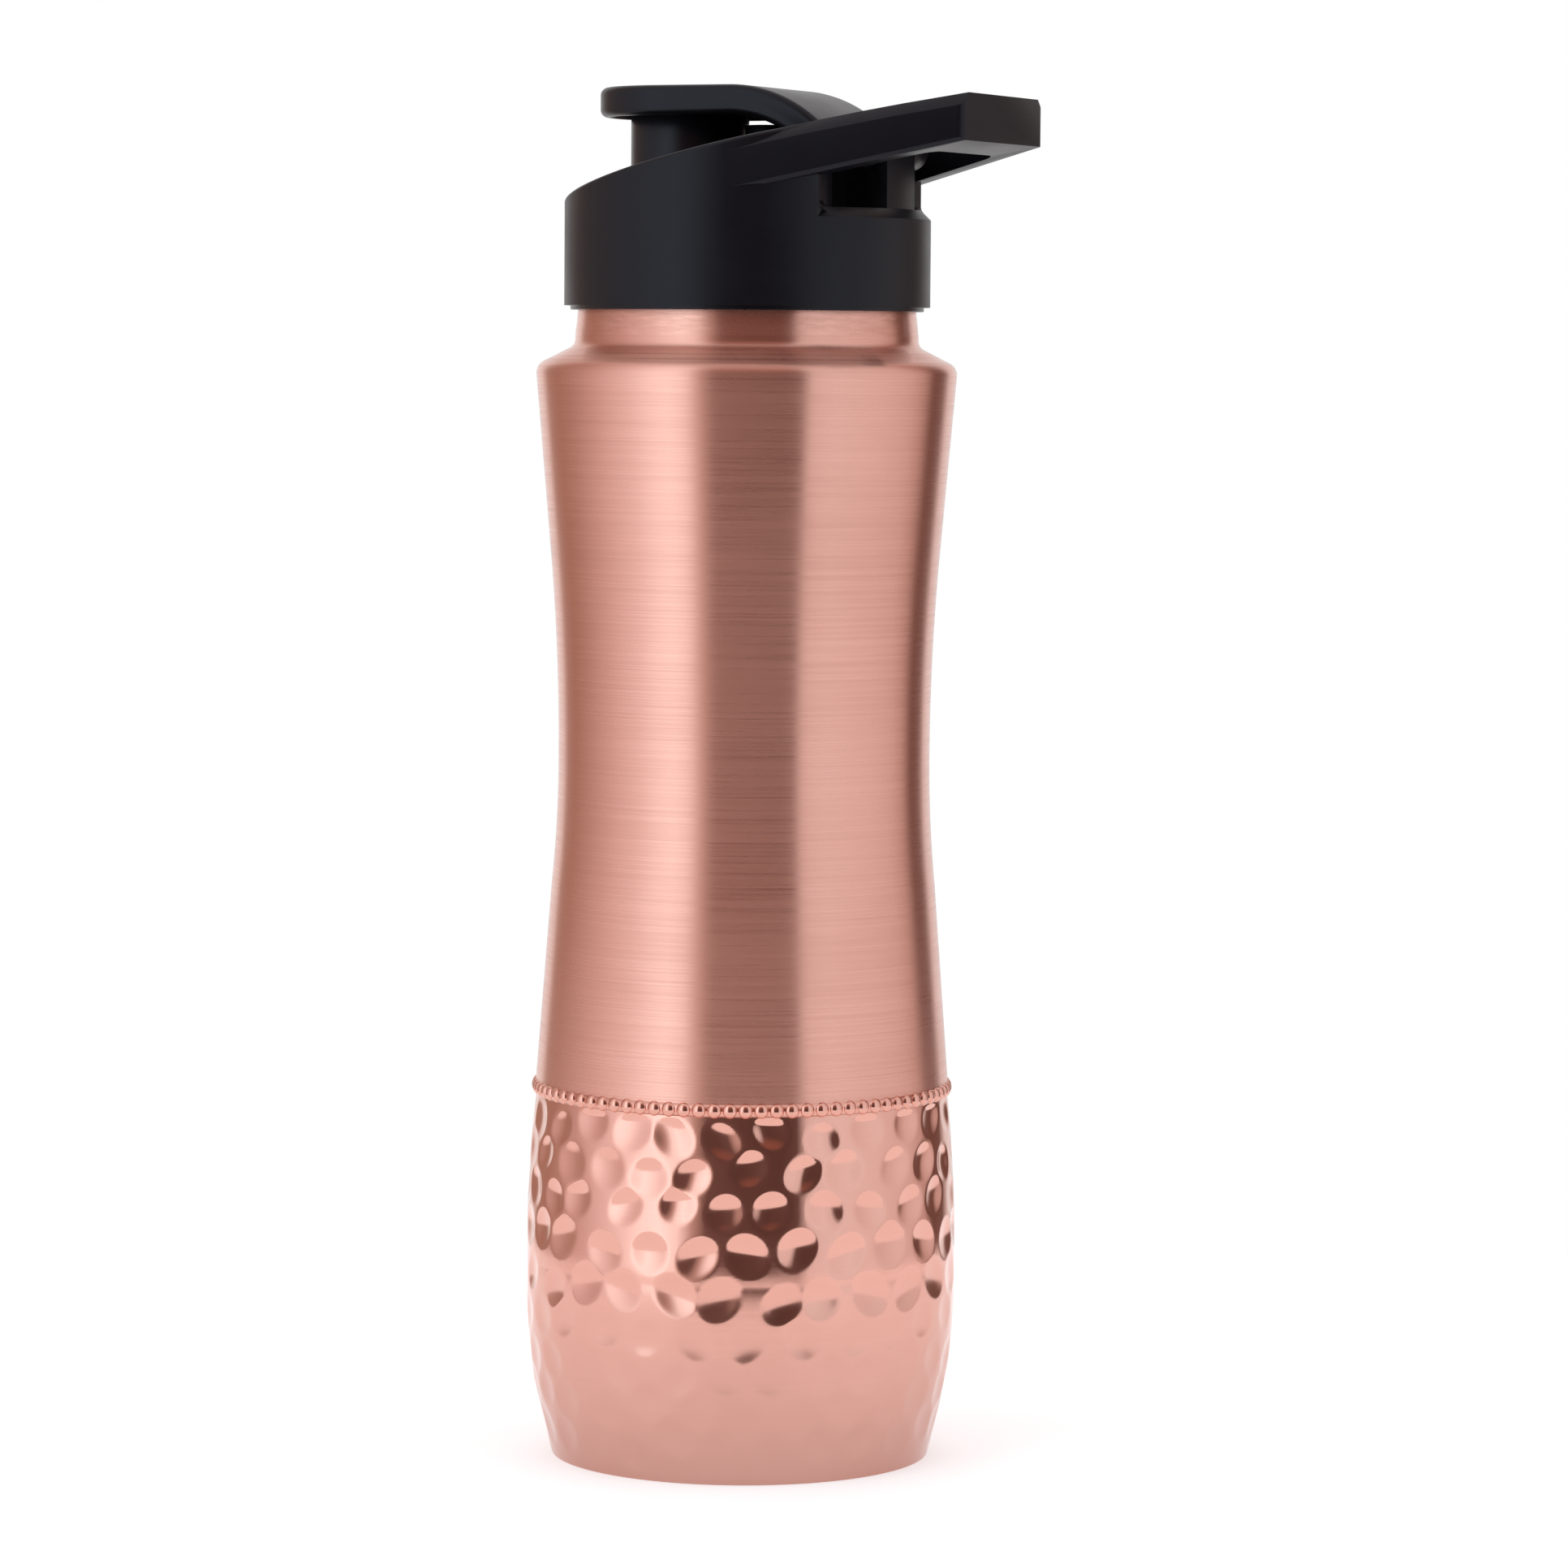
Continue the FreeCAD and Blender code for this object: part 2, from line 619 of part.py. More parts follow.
rim_side = extruded("rim_side", "XZ_Plane", [
    ("window_front", LINER_TOP),
    (OUT, LINER_TOP),
    (OUT, BAY_FLOOR),
    ("window_front", BAY_FLOOR),
], LengthFwd=f"2 * {OUT}")
rim_bevel = joined("Common", "rim_bevel", rim_ring, rim_side)
hollows = joined("MultiFuse", "hollows", bay, windows, socket, roof_space, spout_way, vent_way, rim_bevel)
cap_hollow = joined("Cut", "cap_hollow", cap_mass, hollows)

knuckle_block = extruded("knuckle_block", "XZ_Plane", [
    ("pin_place - knuckle_radius", LINER_TOP),
    ("pin_place + knuckle_radius", LINER_TOP),
    ("pin_place + knuckle_radius", "pin_height"),
    ("pin_place - knuckle_radius", "pin_height"),
], LengthFwd="2 * knuckle_half_width")
knuckle = cross_cylinder("knuckle", "knuckle_radius", "knuckle_half_width", "pin_place", "pin_height")
cap_full = joined("MultiFuse", "cap_full", cap_hollow, knuckle_block, knuckle)
pin_hole = cross_cylinder("pin_hole", "pin_radius", "pin_half_length", "pin_place", "pin_height")
joined("Cut", "cap_shell", cap_full, pin_hole)

# ---------------------------------------------------------------- hinge pin, lid and plug

cross_cylinder("hinge_pin", "pin_radius", "pin_half_length", "pin_place", "pin_height")

LID_FRONT = "(spout_place - lid_end_radius)"
LID_CENTRE = "(lid_top_height - lid_bend_radius)"
LID_SIN = "sin(lid_bend_sweep * 1 deg)"
LID_COS = "cos(lid_bend_sweep * 1 deg)"


def lid_side(name, drop, start, rise, stop):
    """The lid seen from the side: a flat top that bends down towards the hinge."""
    turn = f"({stop} * 1 deg)"
    top_radius, low_radius = f"(lid_bend_radius - {drop})", f"(lid_bend_radius - {rise})"

    def on(radius, share):
        return (f"lid_bend_place + {radius} * sin({turn} * {share})",
                f"{LID_CENTRE} + {radius} * cos({turn} * {share})")

    return extruded(name, "XZ_Plane", [
        (start, f"lid_top_height - {drop}"),
        ("lid_bend_place", f"lid_top_height - {drop}"),
        on(top_radius, 0.5) + ("through",),
        on(top_radius, 1),
        on(low_radius, 1),
        on(low_radius, 0.5) + ("through",),
        ("lid_bend_place", f"lid_top_height - {rise}"),
        (start, f"lid_top_height - {rise}"),
    ], LengthFwd="2 * lid_end_radius + 2")


def lid_plan(name, inset, back):
    """The lid seen from above: round over the spout, narrowing to the hinge."""
    end = f"(lid_end_radius - {inset})"
    tail = f"(lid_tail_half_width - {inset})"
    return extruded(name, "XY_Plane", [
        ("spout_place", f"-{end}"),
        (back, f"-{tail}"),
        (back, tail),
        ("spout_place", end),
        (f"spout_place - {end}", "0", "through"),
    ], LengthFwd="lid_top_height + 10")


lid_bar = lid_side("lid_bar", "0", f"{LID_FRONT} - 1", "lid_depth", "lid_bend_sweep")
lid_blank = joined("Common", "lid_blank", lid_bar, lid_plan("lid_round", "0", "pin_place"))
lid_slab = eased("Fillet", "lid_slab", lid_blank, "lid_edge_round", lambda e:
                 e.BoundBox.XLength > 2 and e.BoundBox.ZMax > value("lid_top_height") - 5.8)
lug_bar = extruded("lug_bar", "XZ_Plane", [
    (f"lid_bend_place + lid_bend_radius * {LID_SIN}", f"{LID_CENTRE} + lid_bend_radius * {LID_COS}"),
    ("pin_place", "pin_height + lug_radius"),
    ("pin_place", "pin_height - lug_radius"),
    (f"lid_bend_place + (lid_bend_radius - lid_depth) * {LID_SIN}",
     f"{LID_CENTRE} + (lid_bend_radius - lid_depth) * {LID_COS}"),
], LengthFwd="2 * lug_outer")
lug_barrel = cross_cylinder("lug_barrel", "lug_radius", "lug_outer", "pin_place", "pin_height")
lugs_whole = joined("Fuse", "lugs_whole", lug_bar, lug_barrel)
lug_slot = extruded("lug_slot", "XZ_Plane", [
    ("pin_place - knuckle_radius - 3 * knuckle_gap", "pin_height - 2 * lug_radius"),
    ("pin_place + 2 * lug_radius", "pin_height - 2 * lug_radius"),
    ("pin_place + 2 * lug_radius", "pin_height + 2 * lug_radius"),
    ("pin_place - knuckle_radius - 3 * knuckle_gap", "pin_height + 2 * lug_radius"),
], LengthFwd="2 * (knuckle_half_width + knuckle_gap)")
lugs = joined("Cut", "lugs", lugs_whole, lug_slot)
lid_whole = joined("Fuse", "lid_whole", lid_slab, lugs)
lid_space = lid_plan("lid_space", "lid_wall", "lid_bend_place")
lid_space.setExpression("LengthFwd", bound("lid_top_height - lid_wall"))
lid_drill = cross_cylinder("lid_drill", "pin_radius + pin_play", "lug_outer + 1", "pin_place", "pin_height")
joined("Cut", "flip_lid", lid_whole, joined("MultiFuse", "lid_hollows", lid_space, lid_drill))

PLUG_FACE = "(spout_height + plug_face_gap)"
flange = cylinder("plug_flange_disc", "plug_flange", PLUG_FACE, "lid_top_height - lid_wall", "spout_place")
stem = doc.addObject("Part::Cone", "plug_stem")
bind(stem, Radius1="spout_bore - plug_play - plug_taper", Radius2="spout_bore - plug_play",
     Height="plug_length", Placement__Base__x="spout_place",
     Placement__Base__z=f"{PLUG_FACE} - plug_length")
joined("Fuse", "spout_plug", flange, stem)

# ---------------------------------------------------------------- check and write

NODES = ["upper_shell", "threaded_neck", "lower_cup", "bead_band", "base_disc", "mouth_gasket",
         "cap_liner", "cap_shell", "hinge_pin", "flip_lid", "spout_plug"]

doc.recompute()
for obj in doc.Objects:
    if "Invalid" in obj.State or "Error" in obj.State:
        raise RuntimeError(f"{obj.Name} did not build: {obj.getStatusString()}")
for name in NODES:
    node = doc.getObject(name)
    node.Label = name
    shape = node.Shape
    if shape.isNull() or not shape.isValid() or len(shape.Solids) != 1:
        raise RuntimeError(f"{name} is not one valid solid")

os.makedirs("parts", exist_ok=True)
for name in NODES:
    node = doc.getObject(name)
    node.Shape.exportStep(f"parts/{name}.step")
    print(f"{name}: {node.Shape.Volume:.1f} mm3")
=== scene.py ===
"""A copper water bottle with a hammered cup, a ring of beads and a black flip-top cap.

Each operator makes one piece of the bottle, or one group of like pieces, over the
fixed CAD frame. Lengths are metres.
"""
import math

import bmesh
import bpy
import numpy as np
from bpy.props import FloatProperty, FloatVectorProperty, IntProperty, PointerProperty
from mathutils import Matrix, Vector


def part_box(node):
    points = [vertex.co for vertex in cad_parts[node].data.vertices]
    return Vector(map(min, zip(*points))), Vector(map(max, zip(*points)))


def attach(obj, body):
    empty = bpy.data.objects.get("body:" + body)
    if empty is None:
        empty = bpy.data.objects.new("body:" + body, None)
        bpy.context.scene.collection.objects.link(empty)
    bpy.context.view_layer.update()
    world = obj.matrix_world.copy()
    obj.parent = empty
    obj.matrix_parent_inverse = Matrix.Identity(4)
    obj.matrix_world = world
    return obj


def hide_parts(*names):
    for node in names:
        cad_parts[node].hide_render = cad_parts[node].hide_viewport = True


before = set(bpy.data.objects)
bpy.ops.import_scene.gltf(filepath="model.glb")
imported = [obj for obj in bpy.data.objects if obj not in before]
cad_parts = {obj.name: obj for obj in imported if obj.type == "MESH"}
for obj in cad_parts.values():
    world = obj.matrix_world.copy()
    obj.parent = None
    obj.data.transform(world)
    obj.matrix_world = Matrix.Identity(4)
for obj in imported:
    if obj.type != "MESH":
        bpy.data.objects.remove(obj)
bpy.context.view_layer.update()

bl_info = {
    "name": "Copper Water Bottle",
    "version": (1, 0, 0),
    "blender": (4, 5, 0),
    "location": "3D View > Sidebar > Bottle",
    "description": "Builds a hammered copper water bottle with a flip-top cap",
    "category": "Object",
}

MM = 0.001
# Heights of the rows of hammer marks, from the beads down.
MARK_ROWS = [z * MM for z in (64.6, 58.0, 50.6, 43.2, 34.6, 27.4, 20.2, 13.6, 7.0)]


# ---------------------------------------------------------------- sizes and colours

def length(name, description, default, low=0.0):
    return FloatProperty(name=name, description=description, default=default, min=low,
                         unit="LENGTH", precision=5)


def share(name, description, default):
    return FloatProperty(name=name, description=description, default=default,
                         min=0.0, max=1.0, subtype="FACTOR")


def colour(name, description, default):
    return FloatVectorProperty(name=name, description=description, default=default,
                               size=3, min=0.0, max=1.0, subtype="COLOR")


def outer_radius(node):
    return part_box(node)[1].x


class BottleShell(bpy.types.PropertyGroup):
    """Sizes of the waisted copper shell above the beads."""

    sheet: length("Sheet", "Thickness of the copper sheet", 0.8 * MM)
    kink_radius: length("Kink radius", "Radius where the lower flare turns into the waist", 35.8 * MM)
    kink_height: length("Kink height", "Height of that place", 107.5 * MM)
    waist_radius: length("Waist radius", "Radius at the narrowest place", 34.65 * MM)
    waist_height: length("Waist height", "Height of the narrowest place", 132.0 * MM)
    shoulder_radius: length("Shoulder radius", "Radius where the shoulder's roll starts",
                            outer_radius("upper_shell"))
    shoulder_height: length("Shoulder height", "Height where the roll starts", 202.2 * MM)
    shoulder_roll: length("Shoulder roll", "Radius of the rolled shoulder edge", 2.5 * MM)
    shoulder_slope: FloatProperty(name="Shoulder slope", description="Slope of the shoulder from level",
                                  default=math.radians(27.0), subtype="ANGLE")
    neck_radius: length("Neck radius", "Radius where the shoulder meets the neck", 31.9 * MM)
    neck_round: length("Neck round", "Radius of the fillet at the neck", 1.8 * MM)
    seam_radius: length("Seam radius", "Outside of shell and cup at the beads", 38.6 * MM)
    joggle: length("Joggle", "Height of the step that lets it tuck in", 3.0 * MM)
    facets: IntProperty(name="Facets", description="Facets around the bottle", default=288, min=64)


class BottleHammering(bpy.types.PropertyGroup):
    """Sizes of the hammered cup and its dimples."""

    foot_radius: length("Foot radius", "Outside of the cup on the table", 35.4 * MM)
    flare_radius: length("Flare radius", "Radius where the straight foot ends", 38.7 * MM)
    flare_height: length("Flare height", "Height where the straight foot ends", 13.5 * MM)
    belly_radius: length("Belly radius", "Widest place of the cup", 40.2 * MM)
    belly_height: length("Belly height", "Height of the widest place", 37.0 * MM)
    around: IntProperty(name="Marks around", description="Hammer marks in one row", default=26, min=3)
    mark_radius: length("Mark radius", "Radius of one hammer mark", 4.0 * MM)
    depth: length("Depth", "Depth of the marks in the upper rows", 0.64 * MM)
    foot_depth: length("Foot depth", "Depth of the marks in the lowest row", 0.36 * MM)
    wander: length("Wander", "How far a mark strays from its place in the row", 0.7 * MM)
    seed: IntProperty(name="Seed", description="Seed of the strays", default=11)
    facets: IntProperty(name="Facets", description="Facets around the cup", default=504, min=64)
    steps: IntProperty(name="Steps", description="Facets from foot to beads", default=150, min=50)


class BottleBeads(bpy.types.PropertyGroup):
    """Sizes of the ring of beads over the seam."""

    width: length("Bead width", "A bead seen from the front", 2.8 * MM)
    depth: length("Bead depth", "A bead from front to back", 2.0 * MM)
    pitch: length("Bead pitch", "Distance from bead to bead", 2.85 * MM)
    strip: length("Strip thickness", "Thickness of the strip that carries them", 0.1 * MM)
    strip_height: length("Strip height", "Height of that strip", 2.3 * MM)


class BottleFinish(bpy.types.PropertyGroup):
    """Colours and finishes."""

    copper: colour("Copper", "Colour of the bright copper", (0.765, 0.405, 0.330))
    copper_shade: colour("Copper shade", "Colour of the copper in its brush lines", (0.70, 0.345, 0.270))
    satin: share("Satin", "Roughness of the brushed copper", 0.30)
    brushing: share("Brushing", "How strongly the brush lines draw a highlight out", 1.0)
    polish: share("Polish", "Roughness of the hammered cup near the beads", 0.07)
    foot_polish: share("Foot polish", "Roughness of the hammered cup at its foot", 0.22)
    # painted shade: this darker foot colour stands in for the dimmer reflection at the cup's foot
    shaded_foot_copper: colour("Foot copper", "Colour of the dull copper at the foot", (0.59, 0.325, 0.272))
    cup_brushing: share("Cup brushing", "How strongly the cup draws a highlight out", 0.6)
    plastic: colour("Plastic", "Colour of the cap", (0.0042, 0.0040, 0.0058))
    plastic_satin: share("Plastic satin", "Roughness of the cap", 0.36)
    edge: length("Edge", "Rounding of the moulded edges", 0.28 * MM)


class BottleStudio(bpy.types.PropertyGroup):
    """The stage."""

    floor: colour("Floor", "Colour of the floor", (0.90, 0.93, 0.95))
    floor_radius: length("Floor radius", "Where the floor starts to fade out", 0.27)
    floor_glow: share("Floor glow", "Light that the floor gives off, so that it reads as white", 0.40)
    turn: FloatProperty(name="Camera turn", description="Camera direction, from straight in front",
                        default=math.radians(25.0), subtype="ANGLE")
    pitch: FloatProperty(name="Camera pitch", description="How far the camera looks down",
                         default=math.radians(4.348), subtype="ANGLE")
    roll: FloatProperty(name="Camera roll", description="Tilt of the camera about its own view",
                        default=math.radians(0.43), subtype="ANGLE")
    distance: length("Camera distance", "Camera to the bottle's axis, level", 1.067)
    height: length("Camera height", "Camera over the floor", 0.2069)
    aside: length("Camera aside", "How far the view passes beside the axis", 0.0075)
    lens: FloatProperty(name="Lens", description="Focal length on a 36 mm sensor", default=131.37,
                        subtype="DISTANCE_CAMERA")


# ---------------------------------------------------------------- materials

def add(tree, kind, inputs=None, **settings):
    """A node with its settings and inputs. An input is a number, a colour or a socket."""
    node = tree.nodes.new(kind)
    for name, setting in settings.items():
        setattr(node, name, setting)
    for name, given in (inputs or {}).items():
        if isinstance(given, bpy.types.NodeSocket):
            tree.links.new(given, node.inputs[name])
        else:
            node.inputs[name].default_value = given
    return node


def new_material(name, **fixed):
    """A material, its tree and its shader, with what is the same everywhere set on it."""
    material = bpy.data.materials.new(name)
    material.use_nodes = True
    shader = material.node_tree.nodes["Principled BSDF"]
    for socket, setting in fixed.items():
        shader.inputs[socket.replace("_", " ")].default_value = setting
    return material, material.node_tree, shader


def streaks(tree, scale, turn=(0.0, 0.0, 0.0), detail=3.0):
    """Noise drawn out along the surface: scale is lines per metre along each axis."""
    place = add(tree, "ShaderNodeTexCoord")
    mapped = add(tree, "ShaderNodeMapping", {"Vector": place.outputs["Object"], "Rotation": turn,
                                             "Scale": scale})
    noise = add(tree, "ShaderNodeTexNoise", {"Vector": mapped.outputs["Vector"], "Scale": 1.0,
                                             "Detail": detail, "Roughness": 0.6})
    return noise.outputs["Fac"]


def spread(tree, source, low, high, from_low=0.3, from_high=0.7):
    """A number between low and high, as source goes through its range."""
    node = add(tree, "ShaderNodeMapRange", {"Value": source, "From Min": from_low, "From Max": from_high,
                                            "To Min": low, "To Max": high})
    return node.outputs["Result"]


def blended(tree, source, first, second, way="MIX"):
    """The second colour over the first, as strongly as source says."""
    node = add(tree, "ShaderNodeMix", data_type="RGBA", blend_type=way)
    for name, given in (("Factor_Float", source), ("A_Color", first), ("B_Color", second)):
        socket = next(s for s in node.inputs if s.identifier == name)
        if isinstance(given, bpy.types.NodeSocket):
            tree.links.new(given, socket)
        else:
            socket.default_value = (*given, 1.0) if name != "Factor_Float" else given
    return next(s for s in node.outputs if s.identifier == "Result_Color")


def summed(tree, *sources):
    """The sum of numbers."""
    total = sources[0]
    for source in sources[1:]:
        total = add(tree, "ShaderNodeMath", {0: total, 1: source}, operation="ADD").outputs[0]
    return total


def bumped(tree, shader, height, depth):
    """Roughen a shader by a height that goes over this depth."""
    bump = add(tree, "ShaderNodeBump", {"Height": height, "Distance": depth, "Strength": 1.0})
    tree.links.new(bump.outputs["Normal"], shader.inputs["Normal"])


def brushed_copper(name, scale, turn=(0.0, 0.0, 0.0), depth=0.004 * MM, along_map=True):
    """Copper with brush lines along one way, and the tarnish that gathers in them."""
    finish = bpy.context.scene.bottle_finish
    material, tree, shader = new_material(
        name, Metallic=1.0, Anisotropic=finish.brushing, Anisotropic_Rotation=0.25)
    lines = streaks(tree, scale, turn)
    hair = streaks(tree, tuple(s * 3.1 for s in scale), turn, 2.0)
    bloom = streaks(tree, (28.0, 28.0, 34.0))
    tone = summed(tree, spread(tree, lines, 0.0, 0.22), spread(tree, hair, 0.0, 0.18),
                  spread(tree, bloom, 0.0, 0.25))
    tree.links.new(blended(tree, tone, finish.copper, finish.copper_shade), shader.inputs["Base Color"])
    tree.links.new(summed(tree, spread(tree, lines, -0.05, 0.06), spread(tree, bloom, -0.02, 0.03),
                          spread(tree, hair, finish.satin - 0.03, finish.satin + 0.03)),
                   shader.inputs["Roughness"])
    bumped(tree, shader, summed(tree, lines, hair), depth)
    if along_map:
        tangent = add(tree, "ShaderNodeTangent", direction_type="UV_MAP", uv_map="around")
        tree.links.new(tangent.outputs["Tangent"], shader.inputs["Tangent"])
    return material


def hammered_copper(name, top, bottom):
    """Polished copper that turns satin towards the foot, with painted shade darkening its colour there."""
    finish = bpy.context.scene.bottle_finish
    material, tree, shader = new_material(name, Metallic=1.0, Anisotropic=finish.cup_brushing,
                                          Anisotropic_Rotation=0.25)
    place = add(tree, "ShaderNodeTexCoord")
    height = add(tree, "ShaderNodeSeparateXYZ", {0: place.outputs["Object"]}).outputs["Z"]
    polish = spread(tree, height, finish.foot_polish, finish.polish, bottom, top)
    cloud = streaks(tree, (110.0, 110.0, 110.0), detail=4.0)
    lines = streaks(tree, (16.0, 16.0, 3000.0))
    tree.links.new(summed(tree, polish, spread(tree, cloud, -0.02, 0.03), spread(tree, lines, -0.01, 0.02)),
                   shader.inputs["Roughness"])
    tone = summed(tree, spread(tree, cloud, 0.0, 0.25), spread(tree, lines, 0.0, 0.15))
    bright = blended(tree, tone, finish.copper, finish.copper_shade)
    # painted shade: the colour goes from bright copper to the darker foot colour towards the foot
    tree.links.new(blended(tree, spread(tree, height, 1.0, 0.0, bottom, top), bright, finish.shaded_foot_copper),
                   shader.inputs["Base Color"])
    tangent = add(tree, "ShaderNodeTangent", direction_type="UV_MAP", uv_map="around")
    tree.links.new(tangent.outputs["Tangent"], shader.inputs["Tangent"])
    bumped(tree, shader, cloud, 0.004 * MM)
    return material


def bead_copper(name):
    """Bright copper with a little tarnish, for the beads."""
    finish = bpy.context.scene.bottle_finish
    material, tree, shader = new_material(name, Metallic=1.0)
    cloud = streaks(tree, (240.0, 240.0, 240.0))
    tree.links.new(spread(tree, cloud, finish.polish, finish.polish + 0.08), shader.inputs["Roughness"])
    tree.links.new(blended(tree, cloud, finish.copper, finish.copper_shade), shader.inputs["Base Color"])
    bumped(tree, shader, cloud, 0.004 * MM)
    return material


def moulded_plastic(name, tone, satin, grain=0.006 * MM):
    """Moulded plastic with a fine spark-eroded grain and faint flow marks."""
    material, tree, shader = new_material(name, Specular_IOR_Level=0.24,
                                          Specular_Tint=(0.88, 0.88, 1.0, 1.0))
    grit = streaks(tree, (5200.0, 5200.0, 5200.0), detail=1.0)
    flow = streaks(tree, (36.0, 36.0, 90.0), (0.3, 0.0, 0.2), 4.0)
    tree.links.new(blended(tree, spread(tree, flow, 0.0, 1.0), tuple(t * 0.85 for t in tone),
                           tuple(t * 1.2 for t in tone)), shader.inputs["Base Color"])
    tree.links.new(summed(tree, spread(tree, flow, -0.03, 0.04),
                          spread(tree, grit, satin - 0.02, satin + 0.03)), shader.inputs["Roughness"])
    bumped(tree, shader, summed(tree, grit, spread(tree, flow, 0.0, 0.6)), grain)
    return material


def silicone(name):
    """Milky silicone."""
    material, tree, shader = new_material(name, Roughness=0.5, Transmission_Weight=0.15, IOR=1.41)
    cloud = streaks(tree, (300.0, 300.0, 300.0))
    tree.links.new(blended(tree, cloud, (0.62, 0.62, 0.60), (0.72, 0.72, 0.70)), shader.inputs["Base Color"])
    bumped(tree, shader, cloud, 0.01 * MM)
    return material


def drawn_steel(name):
    """Steel wire, with the fine lines of drawing along Y."""
    material, tree, shader = new_material(name, Metallic=1.0)
    lines = streaks(tree, (6000.0, 120.0, 6000.0))
    tree.links.new(blended(tree, lines, (0.42, 0.42, 0.43), (0.60, 0.60, 0.61)), shader.inputs["Base Color"])
    tree.links.new(spread(tree, lines, 0.20, 0.36), shader.inputs["Roughness"])
    bumped(tree, shader, lines, 0.003 * MM)
    return material


# ---------------------------------------------------------------- shapes

def arc(start, middle, end, steps):
    """Points on the arc through three points, from start, without end."""
    (ax, ay), (bx, by), (cx, cy) = start, middle, end
    d = 2 * (ax * (by - cy) + bx * (cy - ay) + cx * (ay - by))
    a2, b2, c2 = ax * ax + ay * ay, bx * bx + by * by, cx * cx + cy * cy
    ux = (a2 * (by - cy) + b2 * (cy - ay) + c2 * (ay - by)) / d
    uy = (a2 * (cx - bx) + b2 * (ax - cx) + c2 * (bx - ax)) / d
    first, mid, last = (math.atan2(y - uy, x - ux) for x, y in (start, middle, end))
    turn = lambda angle: (angle - first) % (2 * math.pi)
    sweep = turn(last) if turn(mid) <= turn(last) else turn(last) - 2 * math.pi
    radius = math.hypot(ax - ux, ay - uy)
    return [(ux + radius * math.cos(first + sweep * i / steps),
             uy + radius * math.sin(first + sweep * i / steps)) for i in range(steps)]


def line(start, end, steps):
    """Evenly spaced points from start, without end."""
    return [tuple(a + (b - a) * i / steps for a, b in zip(start, end)) for i in range(steps)]


def mesh_object(name, vertices, faces, sharp=30.0):
    """A closed, smooth-shaded mesh with its faces outwards and its crisp edges kept."""
    mesh = bpy.data.meshes.new(name)
    mesh.from_pydata(vertices, [], faces)
    work = bmesh.new()
    work.from_mesh(mesh)
    bmesh.ops.remove_doubles(work, verts=work.verts, dist=1e-7)
    bmesh.ops.recalc_face_normals(work, faces=work.faces)
    work.to_mesh(mesh)
    work.free()
    mesh.shade_smooth()
    mesh.set_sharp_from_angle(angle=math.radians(sharp))
    piece = bpy.data.objects.new(name, mesh)
    bpy.context.collection.objects.link(piece)
    return piece


def map_around(piece):
    """A map named around: u goes round the bottle's axis and v up it."""
    mesh = piece.data
    layer = mesh.uv_layers.new(name="around")
    for polygon in mesh.polygons:
        centre = math.atan2(polygon.center.y, polygon.center.x)
        for loop in polygon.loop_indices:
            spot = mesh.vertices[mesh.loops[loop].vertex_index].co
            angle = math.atan2(spot.y, spot.x)
            angle -= 2 * math.pi * round((angle - centre) / (2 * math.pi))
            layer.data[loop].uv = angle / (2 * math.pi), spot.z / 0.2


def lathe(name, section, facets, sharp=30.0):
    """A closed section of (radius, height) points turned about the bottle's axis."""
    section = np.array(section)
    turn = np.arange(facets) * 2 * math.pi / facets
    rings = np.stack([np.outer(section[:, 0], np.cos(turn)), np.outer(section[:, 0], np.sin(turn)),
                      np.repeat(section[:, 1:], facets, 1)], -1)
    return woven(name, rings, sharp)


def woven(name, rings, sharp=30.0):
    """A ring-shaped skin over a grid of points, closed both ways round."""
    rows, facets = rings.shape[:2]
    index = np.arange(rows * facets).reshape(rows, facets)
    down, right = np.roll(index, -1, 0), np.roll(index, -1, 1)
    faces = np.stack([index, right, np.roll(right, -1, 0), down], -1).reshape(-1, 4)
    return mesh_object(name, rings.reshape(-1, 3).tolist(), faces.tolist(), sharp)


def finish_piece(piece, body, slot, material, *nodes):
    """Dress a made piece, fix it to its body and let it stand for its CAD nodes."""
    piece.data.materials.clear()
    piece.data.materials.append(material)
    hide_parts(*nodes)
    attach(piece, body)


def dress_node(name, material):
    """Give a CAD node that is shown as it is its finished material."""
    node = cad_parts[name]
    for place in node.material_slots:
        place.material = material


def moulding(node, name, edge):
    """A copy of a CAD node with its flat faces whole and its sharp edges rounded."""
    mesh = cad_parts[node].data.copy()
    mesh.name = name
    work = bmesh.new()
    work.from_mesh(mesh)
    bmesh.ops.remove_doubles(work, verts=work.verts, dist=1e-6)
    bmesh.ops.dissolve_limit(work, angle_limit=math.radians(0.6), verts=work.verts, edges=work.edges)
    work.to_mesh(mesh)
    work.free()
    mesh.materials.clear()
    piece = bpy.data.objects.new(name, mesh)
    bpy.context.collection.objects.link(piece)
    if "custom_normal" in mesh.attributes:
        mesh.attributes.remove(mesh.attributes["custom_normal"])
    mesh.shade_smooth()
    bevel = piece.modifiers.new("edges", "BEVEL")
    bevel.width = edge
    bevel.segments = 2
    bevel.limit_method = "ANGLE"
    bevel.angle_limit = math.radians(32.0)
    bevel.use_clamp_overlap = True
    whole = bpy.data.meshes.new_from_object(piece.evaluated_get(bpy.context.evaluated_depsgraph_get()))
    piece.modifiers.clear()
    piece.data = whole
    whole.shade_smooth()
    whole.set_sharp_from_angle(angle=math.radians(35.0))
    return piece


# ---------------------------------------------------------------- operators

